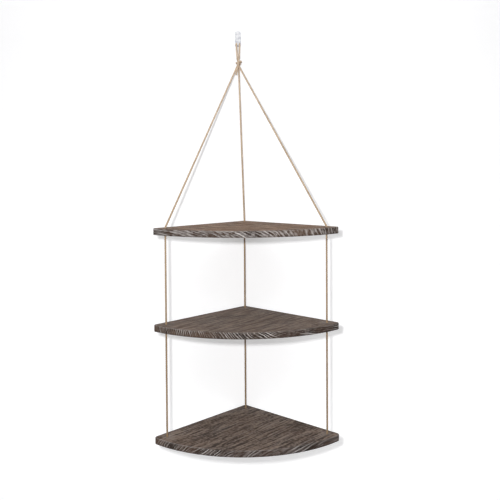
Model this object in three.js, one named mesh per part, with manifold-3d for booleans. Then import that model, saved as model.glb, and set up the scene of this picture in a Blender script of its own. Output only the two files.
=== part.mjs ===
// A three-tier corner shelf that hangs by one rope loop from a small wall hook.
// Three quarter-round boards are threaded on three ropes, and each rests on knots tied under it.
// Millimetres, +Z up. The origin is the middle of the hook's pad on the wall, and +Y goes into the wall.

import * as THREE from 'three';
import { mergeVertices } from 'three/addons/utils/BufferGeometryUtils.js';
import Module from 'manifold-3d';

const wasm = await Module();
wasm.setup();

// Boards
const boardRadius = 300;
const boardThickness = 15;
const boardCornerRadius = 8;
const boardEdgeEase = 1.2;
const boardWallGap = 1;
const boardSideShift = 13;

// Tops of the boards, below the hook's middle
const topShelfDrop = 460;
const upperBayPitch = 218;
const lowerBayPitch = 255.5;

// Rope, and the holes that it runs in
const ropeDiameter = 4;
const ropeBendRadius = 8;
const holeRopeClearance = 0.6;
const holeEdgeInset = 20;
const holeTipInset = 22.5;
const holeChamfer = 0.8;

// Knots under the boards, tucked up into pockets
const pocketDepth = 11;
const pocketKnotClearance = 1.1;
const knotSeatGap = 0.3;
const ropeEndGap = 0.3;
const knotTailLength = 3;
const mouthRise = 1;

// Knot centreline as harmonics of its turn, in shares of the rope's diameter
const knotSideShares = [0.26, -0.22, -0.86, -0.38];
const knotDepthShares = [0, 0.09, 0.75, 0.47];
const knotHeightShares = [0, 1.25, 0.51, 0.13];
const knotHalfHeightShare = 1.2;

// Wall hook
const padThickness = 1;
const padMargin = 1;
const plateWidth = 16;
const plateHeight = 40;
const plateThickness = 3;
const plateFootRadius = 5;
const plateEase = 0.8;
const armWidth = 3.6;
const armHeight = 6.5;
const armTopDrop = 13.4;
const tipReach = 14.2;
const tipThickness = 2.8;
const tipWidth = 6;
const tipRise = 7;
const tipLean = 0.6;
const tipBend = 3.5;
const tipRoot = 1.5;

// Loop over the hook, and the knot that gathers the ropes under it
const loopArmClearance = 0.35;
const loopPlateClearance = 2;
const loopLean = THREE.MathUtils.degToRad(21);
const loopLegLength = 42;
const loopTwistLength = 10.5;
const strandGap = 0.4;
const coreLength = 8;
const swayGap = 0.4;
const wrapGap = 0.6;
const wrapTilt = 2;
const wrapStart = 0.04;
const wrapEnd = 1;
const wrapBend = 4.6;
const crossingTurns = 0.51;
const crossingDrop = 9;
const tailDrop = 26;
const tailDrift = 5;
const tailBendPower = 1.5;

// Fineness of the round forms
const ropeSides = 8;
const bendSteps = 4;
const knotSteps = 40;
const arcSteps = 48;
const filletSteps = 5;
const holeSides = 24;
const overrun = 1;

const ropeRadius = ropeDiameter / 2;
const quarter = Math.PI / 4;
const down = new THREE.Vector3(0, 0, -1);

const woodMaterial = () => new THREE.MeshStandardMaterial({ color: 0x5b4f47, roughness: 0.75 });
const ropeMaterial = () => new THREE.MeshStandardMaterial({ color: 0xb9a182, roughness: 0.9 });
const hookMaterial = () => new THREE.MeshStandardMaterial({ color: 0xeceef1, roughness: 0.25 });
const padMaterial = () => new THREE.MeshStandardMaterial({ color: 0xf4f4f2, roughness: 0.8 });

// Solids

function toSolid(geometry) {
  const bare = geometry.clone();
  bare.deleteAttribute('normal');
  bare.deleteAttribute('uv');
  const merged = mergeVertices(bare);
  const corners = [];
  for (let i = 0; i < merged.index.count; i += 3) {
    const [a, b, c] = [0, 1, 2].map((k) => merged.index.getX(i + k));
    if (a !== b && b !== c && c !== a) corners.push(a, b, c);
  }
  return new wasm.Manifold(new wasm.Mesh({
    numProp: 3,
    vertProperties: Float32Array.from(merged.attributes.position.array),
    triVerts: Uint32Array.from(corners),
  }));
}

function toGeometry(solid) {
  const mesh = solid.getMesh();
  const geometry = new THREE.BufferGeometry();
  geometry.setAttribute('position', new THREE.BufferAttribute(mesh.vertProperties, mesh.numProp));
  geometry.setIndex(new THREE.BufferAttribute(mesh.triVerts, 1));
  geometry.computeVertexNormals();
  return geometry;
}

function piece(name, geometry, material) {
  const mesh = new THREE.Mesh(geometry, material);
  mesh.name = name;
  return mesh;
}

function arcPoints(x, y, radius, from, to, steps) {
  return Array.from({ length: steps + 1 }, (_, i) => {
    const angle = THREE.MathUtils.lerp(from, to, i / steps);
    return new THREE.Vector2(x + radius * Math.cos(angle), y + radius * Math.sin(angle));
  });
}

// An outline drawn as seen from the room, thickened outwards from a distance off the wall
function standOff(shape, start, thickness, ease = 0) {
  const geometry = new THREE.ExtrudeGeometry(shape, {
    depth: thickness - 2 * ease,
    bevelEnabled: ease > 0,
    bevelThickness: ease,
    bevelSize: ease,
    bevelOffset: -ease,
    bevelSegments: 2,
    curveSegments: filletSteps,
  });
  return geometry.translate(0, 0, start + ease).rotateX(Math.PI / 2);
}

// Boards

const backCornerY = boardCornerRadius * (Math.SQRT2 - 1) - boardWallGap;
const pocketRadius = knotRadius() + pocketKnotClearance;
const holeRadius = ropeRadius + holeRopeClearance;
const holeFloor = boardThickness - pocketDepth;

const shelfTops = {
  top: -topShelfDrop,
  middle: -topShelfDrop - upperBayPitch,
  bottom: -topShelfDrop - upperBayPitch - lowerBayPitch,
};

// Holes, from the sharp back corner where the straight edges would meet
const tipAlong = boardRadius - holeTipInset;
const ropeHoles = {
  left: new THREE.Vector2(-(tipAlong - holeEdgeInset), -(tipAlong + holeEdgeInset)).divideScalar(Math.SQRT2),
  right: new THREE.Vector2(tipAlong - holeEdgeInset, -(tipAlong + holeEdgeInset)).divideScalar(Math.SQRT2),
  back: new THREE.Vector2(0, -holeEdgeInset * Math.SQRT2),
};

function boardOutline() {
  const r = boardCornerRadius;
  const filletAway = boardRadius - r;
  const filletTurn = Math.asin(r / filletAway);
  const leftAngle = -3 * quarter + filletTurn;
  const rightAngle = -quarter - filletTurn;
  const tipFillet = (angle, from, to) =>
    arcPoints(filletAway * Math.cos(angle), filletAway * Math.sin(angle), r, from, to, filletSteps);
  return new THREE.Shape([
    ...arcPoints(0, -r * Math.SQRT2, r, quarter, 3 * quarter, filletSteps),
    ...tipFillet(leftAngle, -5 * quarter, leftAngle),
    ...arcPoints(0, 0, boardRadius, leftAngle, rightAngle, arcSteps).slice(1, -1),
    ...tipFillet(rightAngle, rightAngle, quarter),
  ]);
}

// What a hole takes out: a chamfered mouth, the rope's bore and the knot's pocket below it
function holeCutter() {
  const profile = [
    [0, -boardThickness - overrun],
    [pocketRadius, -boardThickness - overrun],
    [pocketRadius, -holeFloor],
    [holeRadius, -holeFloor],
    [holeRadius, -holeChamfer],
    [holeRadius + holeChamfer + overrun, overrun],
    [0, overrun],
  ];
  const geometry = new THREE.LatheGeometry(profile.map(([r, z]) => new THREE.Vector2(r, z)), holeSides);
  return geometry.rotateX(Math.PI / 2);
}

function boardGeometry() {
  const blank = new THREE.ExtrudeGeometry(boardOutline(), {
    depth: boardThickness - 2 * boardEdgeEase,
    bevelThickness: boardEdgeEase,
    bevelSize: boardEdgeEase,
    bevelOffset: -boardEdgeEase,
    bevelSegments: 2,
  });
  let board = toSolid(blank.translate(0, 0, boardEdgeEase - boardThickness));
  for (const hole of Object.values(ropeHoles)) {
    board = board.subtract(toSolid(holeCutter().translate(hole.x, hole.y, 0)));
  }
  return toGeometry(board);
}

// Ropes

// A route with a section at each given point, close together in bends and far apart between them
class SectionedRoute extends THREE.Curve {
  constructor(points) {
    super();
    this.points = points;
  }

  getPoint(share, target = new THREE.Vector3()) {
    const place = share * (this.points.length - 1);
    const index = Math.min(Math.floor(place), this.points.length - 2);
    return target.lerpVectors(this.points[index], this.points[index + 1], place - index);
  }

  getPointAt(share, target) {
    return this.getPoint(share, target);
  }

  getTangentAt(share, target = new THREE.Vector3()) {
    const last = this.points.length - 1;
    const index = Math.round(share * last);
    const before = this.points[Math.max(index - 1, 0)];
    return target.subVectors(this.points[Math.min(index + 1, last)], before).normalize();
  }
}

function ropeGeometry(points) {
  const section = new THREE.Shape(arcPoints(0, 0, ropeRadius, 0, 2 * Math.PI, ropeSides).slice(1));
  return new THREE.ExtrudeGeometry(section, {
    steps: points.length - 1,
    extrudePath: new SectionedRoute(points),
  });
}

// The corners of a route, each rounded to the rope's bend radius
function roundedRoute(corners) {
  const points = [corners[0]];
  for (let i = 1; i < corners.length - 1; i++) {
    const into = corners[i].clone().sub(corners[i - 1]).normalize();
    const out = corners[i + 1].clone().sub(corners[i]).normalize();
    const turn = into.angleTo(out);
    const inward = out.clone().addScaledVector(into, -into.dot(out)).normalize();
    const start = corners[i].clone().addScaledVector(into, -ropeBendRadius * Math.tan(turn / 2));
    for (let k = 0; k <= bendSteps; k++) {
      const angle = turn * k / bendSteps;
      points.push(start.clone()
        .addScaledVector(into, ropeBendRadius * Math.sin(angle))
        .addScaledVector(inward, ropeBendRadius * (1 - Math.cos(angle))));
    }
  }
  points.push(corners.at(-1));
  return points;
}

// Smallest clear distance between stretches of one rope that aren't neighbours along it
function leastSelfGap(points) {
  const along = [0];
  for (let i = 1; i < points.length; i++) along.push(along[i - 1] + points[i].distanceTo(points[i - 1]));
  let least = Infinity;
  for (let i = 0; i < points.length; i++) {
    for (let j = i + 1; j < points.length; j++) {
      if (along[j] - along[i] < Math.PI * ropeRadius * 1.2) continue;
      least = Math.min(least, points[i].distanceTo(points[j]) - ropeDiameter);
    }
  }
  return least;
}

// Overhand knot, centred on the rope's line

function knotPoint(share) {
  const turn = Math.PI * (2 * share - 1);
  const sum = (shares, wave) => shares.reduce((total, k, n) => total + k * wave(n * turn), 0);
  const half = knotHalfHeightShare * (2 * share - 1);
  return new THREE.Vector3(
    sum(knotSideShares, Math.cos),
    sum(knotDepthShares, Math.sin),
    sum(knotHeightShares, Math.sin) - half,
  ).multiplyScalar(ropeDiameter);
}

// The knot with a straight end one rope diameter long above and below it
function knotRoute(tail = 0) {
  const run = Array.from({ length: knotSteps + 1 }, (_, i) => knotPoint(i / knotSteps));
  const start = run[0].clone().addScaledVector(down, -ropeDiameter);
  const end = run.at(-1).clone().addScaledVector(down, ropeDiameter + tail);
  return [start, ...run, end];
}

function knotRadius() {
  return Math.max(...knotRoute().map((p) => Math.hypot(p.x, p.y))) + ropeDiameter / 2;
}

const knotHalf = knotHalfHeightShare * ropeDiameter;
const knotDrop = holeFloor + knotSeatGap + ropeRadius + knotHalf;
const knotReach = knotHalf + ropeDiameter + ropeEndGap;

function holePlace(side, height) {
  const hole = ropeHoles[side];
  return new THREE.Vector3(boardSideShift + hole.x, backCornerY + hole.y, height);
}

function stopKnot(side, tier, turn, tail) {
  const mesh = piece(`${side}_${tier}_knot`, ropeGeometry(knotRoute(tail)), ropeMaterial());
  mesh.position.copy(holePlace(side, shelfTops[tier] - knotDrop));
  mesh.rotation.z = turn;
  return mesh;
}

// Upper and lower ends of the rope between one board's knot and the next board's knot
function knotTop(side, tier) {
  return holePlace(side, shelfTops[tier] - knotDrop + knotReach);
}

function knotBottom(side, tier) {
  return holePlace(side, shelfTops[tier] - knotDrop - knotReach);
}

// Loop over the hook's arm: it leans out from the wall, drawn by the weight in front of it

const loopRadius = armWidth / 2 + loopArmClearance + ropeRadius;
const loopTopHeight = -armTopDrop + loopArmClearance + ropeRadius;
const loopStandoff = padThickness + plateThickness + loopPlateClearance + ropeRadius;
const strandOffset = ropeRadius + strandGap / 2;
const knotStart = loopLegLength + loopTwistLength;

// A place by its side shift, its distance out from the loop's plane and its way down the loop
function loopPlace(side, out, fall) {
  return new THREE.Vector3(
    side,
    -loopStandoff - fall * Math.sin(loopLean) - out * Math.cos(loopLean),
    loopTopHeight - fall * Math.cos(loopLean) + out * Math.sin(loopLean),
  );
}

// The two strands turn from side by side to one behind the other
function strandPlace(front, turn, fall) {
  const sign = front ? 1 : -1;
  return loopPlace(sign * strandOffset * Math.sin(turn), sign * strandOffset * Math.cos(turn), fall);
}

function loopRoute() {
  const steps = Array.from({ length: 2 * bendSteps + 1 }, (_, i) => i / (2 * bendSteps));
  const twist = (front) => steps.map((share) => {
    const turn = Math.PI / 2 * (1 - THREE.MathUtils.smoothstep(share, 0, 1));
    return strandPlace(front, turn, loopLegLength + share * loopTwistLength);
  });
  const bight = arcPoints(0, 0, loopRadius, 0, Math.PI, 3 * filletSteps)
    .map((p) => loopPlace(p.x, 0, loopRadius - p.y));
  return [...twist(true).reverse(), ...bight, ...twist(false)];
}

// From the loop's end through the gathering knot, then out to a tip of the top board
function tipRopeRoute(side, front) {
  return roundedRoute([
    strandPlace(front, 0, coreStart),
    strandPlace(front, 0, coreStart + coreLength),
    holePlace(side, shelfTops.top + mouthRise),
    knotTop(side, 'top'),
  ]);
}

// Gathering knot: the back rope comes up behind the strands, winds around them, crosses over its own turn
// in front and ends in a short tail
const coreStart = knotStart + swayGap;
const wrapPitch = ropeDiameter + wrapGap;
const wrapLow = coreStart + ropeRadius + (wrapEnd + crossingTurns / 2) * wrapPitch;

// A place on the winding, whose plan is a ring drawn out to pass both strands, lower in front than behind
function wrapPlace(turns, fall, lift = 0) {
  const angle = 2 * Math.PI * turns - Math.PI / 2;
  const reach = ropeDiameter + wrapGap + lift;
  const out = reach * Math.sin(angle) + strandOffset * THREE.MathUtils.clamp(2 * Math.sin(angle), -1, 1);
  return loopPlace(reach * Math.cos(angle), out, fall + wrapTilt * Math.sin(angle));
}

function gatheringKnotRoute() {
  const bendTurns = wrapBend / (2 * Math.PI * wrapPitch + 4 * strandOffset);
  const points = [];
  for (let i = 0; i < bendSteps; i++) {
    const angle = Math.PI / 2 * i / bendSteps;
    const turns = wrapStart + bendTurns * (1 - Math.cos(angle));
    points.push(wrapPlace(turns, wrapLow - turns * wrapPitch + wrapBend * (1 - Math.sin(angle))));
  }
  points.unshift(points[0].clone().addScaledVector(down, ropeDiameter));
  const windFrom = wrapStart + bendTurns;
  const windSteps = 5 * bendSteps;
  for (let i = 0; i < windSteps; i++) {
    const turns = THREE.MathUtils.lerp(windFrom, wrapEnd, i / windSteps);
    points.push(wrapPlace(turns, wrapLow - turns * wrapPitch));
  }
  const crossingSteps = 3 * bendSteps;
  for (let i = 0; i <= crossingSteps; i++) {
    const angle = Math.PI / 2 * i / crossingSteps;
    const turns = wrapEnd + crossingTurns * Math.sin(angle);
    const lift = wrapPitch * THREE.MathUtils.smoothstep(Math.sin(angle), 0.1, 1);
    points.push(wrapPlace(turns, wrapLow - turns * wrapPitch + crossingDrop * (1 - Math.cos(angle)) ** 2, lift));
  }
  const hang = points.at(-1).clone();
  for (const share of [0.2, 0.4, 0.6, 0.8, 1]) {
    points.push(hang.clone().add(new THREE.Vector3(-tailDrift * share ** tailBendPower, 0, -tailDrop * share)));
  }
  return new THREE.CatmullRomCurve3(points, false, 'centripetal').getSpacedPoints(2 * knotSteps);
}

// Wall hook

function plateOutline(margin) {
  const half = plateWidth / 2 - margin;
  const top = plateHeight / 2 - margin;
  const foot = plateFootRadius - margin;
  return new THREE.Shape([
    ...arcPoints(0, top - half, half, 0, Math.PI, 3 * filletSteps),
    ...arcPoints(foot - half, foot - top, foot, Math.PI, 3 * Math.PI / 2, filletSteps),
    ...arcPoints(half - foot, foot - top, foot, -Math.PI / 2, 0, filletSteps),
  ]);
}

function armOutline() {
  const r = armWidth / 2;
  return new THREE.Shape([
    ...arcPoints(0, -armTopDrop - r, r, 0, Math.PI, 2 * filletSteps),
    ...arcPoints(0, r - armTopDrop - armHeight, r, Math.PI, 2 * Math.PI, 2 * filletSteps),
  ]);
}

function tipFrontOutline() {
  const arm = armWidth / 2;
  const tip = tipWidth / 2;
  const shape = new THREE.Shape();
  shape.moveTo(arm, arm - armTopDrop - armHeight);
  shape.lineTo(arm, -armTopDrop - tipRoot);
  shape.quadraticCurveTo(arm, -armTopDrop, tip, tipRoot - armTopDrop);
  shape.absarc(0, tipRise - armTopDrop - tip, tip, 0, Math.PI, false);
  shape.lineTo(-tip, tipRoot - armTopDrop);
  shape.quadraticCurveTo(-arm, -armTopDrop, -arm, -armTopDrop - tipRoot);
  shape.absarc(0, arm - armTopDrop - armHeight, arm, Math.PI, 2 * Math.PI, false);
  return shape;
}

// Side view of the turned-up end, with its reach from the wall across
function tipSideOutline() {
  const bottom = -armTopDrop - armHeight;
  const outer = tipReach + tipThickness;
  const nose = tipThickness / 2;
  const top = tipRise - armTopDrop;
  const shape = new THREE.Shape();
  shape.moveTo(tipReach - tipRoot, bottom);
  shape.lineTo(outer - tipBend, bottom);
  shape.quadraticCurveTo(outer, bottom, outer, bottom + tipBend);
  shape.lineTo(outer + tipLean, top - nose);
  shape.absarc(tipReach + nose + tipLean, top - nose, nose, 0, Math.PI, false);
  shape.lineTo(tipReach, tipRoot - armTopDrop);
  shape.quadraticCurveTo(tipReach, -armTopDrop, tipReach - tipRoot, -armTopDrop);
  shape.closePath();
  return shape;
}

function hookGeometry() {
  const plate = toSolid(standOff(plateOutline(0), padThickness, plateThickness, plateEase));
  const armStart = padThickness + plateThickness / 2;
  const arm = toSolid(standOff(armOutline(), armStart, tipReach + overrun / 2 - armStart));
  const front = toSolid(standOff(tipFrontOutline(), armStart, tipReach + tipThickness + 2 * overrun));
  const side = new THREE.ExtrudeGeometry(tipSideOutline(), {
    depth: 2 * plateWidth,
    bevelEnabled: false,
    curveSegments: 2 * filletSteps,
  }).translate(0, 0, -plateWidth);
  const toSide = new THREE.Matrix4().makeBasis(
    new THREE.Vector3(0, -1, 0), new THREE.Vector3(0, 0, 1), new THREE.Vector3(-1, 0, 0));
  const tip = front.intersect(toSolid(side.applyMatrix4(toSide)));
  return toGeometry(plate.add(arm).add(tip));
}

// Assembly

const hangingShelf = new THREE.Group();

const wallHook = new THREE.Group();
wallHook.add(piece('wall_hook', hookGeometry(), hookMaterial()));
wallHook.add(piece('adhesive_pad', standOff(plateOutline(padMargin), 0, padThickness), padMaterial()));
hangingShelf.add(wallHook);

hangingShelf.add(piece('hanging_loop', ropeGeometry(loopRoute()), ropeMaterial()));

const shelves = new THREE.Group();
shelves.position.set(boardSideShift, backCornerY, 0);
for (const [tier, height] of Object.entries(shelfTops)) {
  const board = piece(`${tier}_shelf`, boardGeometry(), woodMaterial());
  board.position.z = height;
  shelves.add(board);
}
hangingShelf.add(shelves);

const ropes = new THREE.Group();
const knotRun = gatheringKnotRoute();
ropes.add(piece('gathering_knot', ropeGeometry(knotRun), ropeMaterial()));
const backStart = knotRun[0].clone().addScaledVector(down, ropeEndGap);
const upperRoutes = {
  left: tipRopeRoute('left', true),
  right: tipRopeRoute('right', false),
  back: roundedRoute([backStart, holePlace('back', shelfTops.top + mouthRise), knotTop('back', 'top')]),
};
const knotTurns = { left: 0, right: Math.PI, back: Math.PI / 2 };
for (const side of Object.keys(ropeHoles)) {
  ropes.add(piece(`${side}_upper_rope`, ropeGeometry(upperRoutes[side]), ropeMaterial()));
  ropes.add(stopKnot(side, 'top', knotTurns[side], 0));
  const middle = [knotBottom(side, 'top'), knotTop(side, 'middle')];
  ropes.add(piece(`${side}_middle_rope`, ropeGeometry(middle), ropeMaterial()));
  ropes.add(stopKnot(side, 'middle', knotTurns[side], 0));
  const lower = [knotBottom(side, 'middle'), knotTop(side, 'bottom')];
  ropes.add(piece(`${side}_lower_rope`, ropeGeometry(lower), ropeMaterial()));
  ropes.add(stopKnot(side, 'bottom', knotTurns[side], knotTailLength));
}
hangingShelf.add(ropes);

const stopGap = leastSelfGap(knotRoute());
const gatherGap = leastSelfGap(knotRun);
console.log(`least gap of a knot to itself: ${stopGap.toFixed(2)} and ${gatherGap.toFixed(2)} mm`);

export default hangingShelf;
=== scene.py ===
"""Hanging rope shelf: three scorched quarter-round boards on twisted rope, under a small clear wall hook.

Lengths are in metres. +Z is up, +Y goes into the wall, and the origin is the middle of the hook's pad.
"""

import logging
import math
import random
from dataclasses import dataclass, field
from enum import Enum
from typing import Sequence

import bmesh
import bpy
from mathutils import Matrix, Vector, noise


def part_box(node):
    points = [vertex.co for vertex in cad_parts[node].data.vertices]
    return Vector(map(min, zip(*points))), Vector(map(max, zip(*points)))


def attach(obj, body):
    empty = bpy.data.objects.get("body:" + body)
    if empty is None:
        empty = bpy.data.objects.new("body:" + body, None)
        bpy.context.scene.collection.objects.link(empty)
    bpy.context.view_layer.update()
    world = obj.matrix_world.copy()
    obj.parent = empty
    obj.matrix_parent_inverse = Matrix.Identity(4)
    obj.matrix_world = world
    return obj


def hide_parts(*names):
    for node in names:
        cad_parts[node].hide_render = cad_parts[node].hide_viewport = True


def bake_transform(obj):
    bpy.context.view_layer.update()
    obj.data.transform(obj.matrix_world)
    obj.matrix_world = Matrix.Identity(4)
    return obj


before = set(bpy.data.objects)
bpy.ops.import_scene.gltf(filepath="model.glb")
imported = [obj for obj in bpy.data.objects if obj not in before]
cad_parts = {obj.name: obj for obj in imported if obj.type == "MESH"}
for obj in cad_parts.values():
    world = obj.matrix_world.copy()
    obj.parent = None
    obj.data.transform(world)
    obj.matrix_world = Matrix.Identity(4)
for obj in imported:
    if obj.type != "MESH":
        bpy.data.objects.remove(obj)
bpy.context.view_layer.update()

MM = 0.001
LOG = logging.getLogger("hanging_shelf")
Socket = bpy.types.NodeSocket
Outputs = bpy.types.NodeOutputs
Piece = bpy.types.Object
Ring = list[bmesh.types.BMVert]
Outline = list[tuple[Vector, Vector]]
Colour = tuple[float, float, float, float]


class Side(Enum):
    """The three ropes, as seen from the room."""

    LEFT = "left"
    RIGHT = "right"
    BACK = "back"


class Tier(Enum):
    """The three boards, from the highest to the lowest."""

    TOP = "top"
    MIDDLE = "middle"
    BOTTOM = "bottom"

    @property
    def body(self) -> str:
        """Name of the body that the board moves with."""
        return "hanger" if self is Tier.TOP else f"{self.value}_board"

    @property
    def node(self) -> str:
        """Name of the board's node in the frame."""
        return f"{self.value}_shelf"


def screen_colour(*levels: int) -> Colour:
    """Turns a colour as a screen shows it into the linear colour that a shader takes.

    Args:
        levels: Red, green and blue, from 0 to 255.

    Returns:
        The linear colour, with an alpha of 1.
    """
    shares = [level / 255 for level in levels]
    linear = [share / 12.92 if share <= 0.04045 else ((share + 0.055) / 1.055) ** 2.4 for share in shares]
    return (*linear, 1.0)


def blended(share: float, first: Colour, second: Colour) -> Colour:
    """The colour that lies a share of the way from one to another."""
    return tuple(a + (b - a) * share for a, b in zip(first, second))


def way_between(value: float, start: float, end: float) -> float:
    """How far a value has come from a start to an end, from 0 to 1."""
    return max(0.0, min(1.0, (value - start) / (end - start)))


def gently(share: float) -> float:
    """A share from 0 to 1, slowed down at both ends."""
    return share * share * (3 - 2 * share)


class NodeSheet:
    """A shader node tree with short ways to add nodes and join them."""

    columns: int = 8
    column_width: float = 200.0
    row_height: float = 260.0

    def __init__(self, tree: bpy.types.NodeTree) -> None:
        """Starts on an empty tree."""
        self.tree = tree
        tree.nodes.clear()

    def add(self, kind: str, values: dict | None = None, **settings: object) -> bpy.types.Node:
        """Adds one node.

        Args:
            kind: The node's type name.
            values: Values or source sockets, by input name or number.
            settings: The node's own settings.

        Returns:
            The new node.
        """
        node = self.tree.nodes.new(kind)
        row, column = divmod(len(self.tree.nodes), self.columns)
        node.location = (self.column_width * column, -self.row_height * row)
        for name, value in settings.items():
            setattr(node, name, value)
        for key, value in (values or {}).items():
            if isinstance(value, Socket):
                self.tree.links.new(value, node.inputs[key])
            else:
                node.inputs[key].default_value = value
        return node

    def group(self, tree: bpy.types.NodeTree, values: dict) -> Outputs:
        """Places a shared group with its own values and gives its outputs."""
        return self.add("ShaderNodeGroup", values, node_tree=tree).outputs

    def math(self, operation: str, first: Socket | float, second: Socket | float = 0.0) -> Socket:
        """The result of a sum on one or two values."""
        return self.add("ShaderNodeMath", {0: first, 1: second}, operation=operation).outputs[0]

    def product(self, first: Socket, *others: Socket | float) -> Socket:
        """Multiplies several values.

        Args:
            first: The first value.
            others: The values that it is multiplied by.

        Returns:
            Their product.
        """
        for other in others:
            first = self.math("MULTIPLY", first, other)
        return first

    def step(self, value: Socket, low: Socket | float, high: Socket | float) -> Socket:
        """A smooth step from 0 at a low value to 1 at a high one."""
        values = {"Value": value, "From Min": low, "From Max": high}
        return self.add("ShaderNodeMapRange", values, interpolation_type="SMOOTHSTEP").outputs["Result"]

    def steepened(self, value: Socket, half: Socket) -> Socket:
        """A smooth step about 0.5 that reaches as far as a half width to either side."""
        return self.step(value, self.math("SUBTRACT", 0.5, half), self.math("ADD", 0.5, half))

    def span(self, value: Socket, low: float, high: float, start: float = 0.0, end: float = 1.0) -> Socket:
        """Runs evenly from a low to a high result while the value goes from a start to an end."""
        values = {"Value": value, "From Min": start, "From Max": end, "To Min": low, "To Max": high}
        return self.add("ShaderNodeMapRange", values).outputs["Result"]

    def place(self) -> Socket:
        """The spot on the surface, in the object's own coordinates."""
        return self.add("ShaderNodeTexCoord").outputs["Object"]

    def vector(self, operation: str, first: Socket, second: Socket | tuple = (0.0, 0.0, 0.0)) -> Outputs:
        """What a sum on one or two vectors gives."""
        return self.add("ShaderNodeVectorMath", {0: first, 1: second}, operation=operation).outputs

    def scaled(self, place: Socket, scale: Socket | tuple[float, float, float]) -> Socket:
        """A place with each of its coordinates multiplied."""
        return self.vector("MULTIPLY", place, scale)["Vector"]

    def joined(self, x: Socket | float, y: Socket | float, z: Socket | float) -> Socket:
        """A vector from its three coordinates."""
        return self.add("ShaderNodeCombineXYZ", {"X": x, "Y": y, "Z": z}).outputs[0]

    def turned(self, vector: Socket, angle: Socket | float) -> Socket:
        """A vector turned about the upright axis."""
        values = {"Vector": vector, "Angle": angle}
        return self.add("ShaderNodeVectorRotate", values, rotation_type="Z_AXIS").outputs[0]

    def coordinates(self, vector: Socket) -> Outputs:
        """The three coordinates of a vector."""
        return self.add("ShaderNodeSeparateXYZ", {0: vector}).outputs

    def clouds(self, place: Socket, scale: Socket | float = 1.0, detail: Socket | float = 2.0,
               roughness: float = 0.5, distortion: float = 0.0) -> Socket:
        """Soft random values round 0.5.

        Args:
            place: The place that they vary over.
            scale: How close together the clouds lie.
            detail: How many finer layers are added.
            roughness: How strong each finer layer is.
            distortion: How far the clouds are swirled.

        Returns:
            The values.
        """
        return self.add("ShaderNodeTexNoise", {
            "Vector": place, "Scale": scale, "Detail": detail, "Roughness": roughness,
            "Distortion": distortion}).outputs[0]

    def mix(self, share: Socket, first: Socket | Colour, second: Socket | Colour) -> Socket:
        """Lays a second colour over a first by a share."""
        return self.add("ShaderNodeMix", {0: share, 6: first, 7: second}, data_type="RGBA").outputs[2]

    def layered(self, base: Socket, *layers: tuple[Socket, float, Socket | Colour]) -> Socket:
        """Lays colours over a base.

        Args:
            base: The colour at the bottom.
            layers: Each layer's mask, the mask's strength and the colour.

        Returns:
            The blended colour.
        """
        for mask, strength, colour in layers:
            base = self.mix(self.product(mask, strength), base, colour)
        return base

    def dyed(self, colour: Socket, warmth: Socket | float, tone: Socket | float) -> Socket:
        """A colour with its saturation and its brightness multiplied."""
        values = {"Saturation": warmth, "Value": tone, "Color": colour}
        return self.add("ShaderNodeHueSaturation", values).outputs[0]


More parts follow.
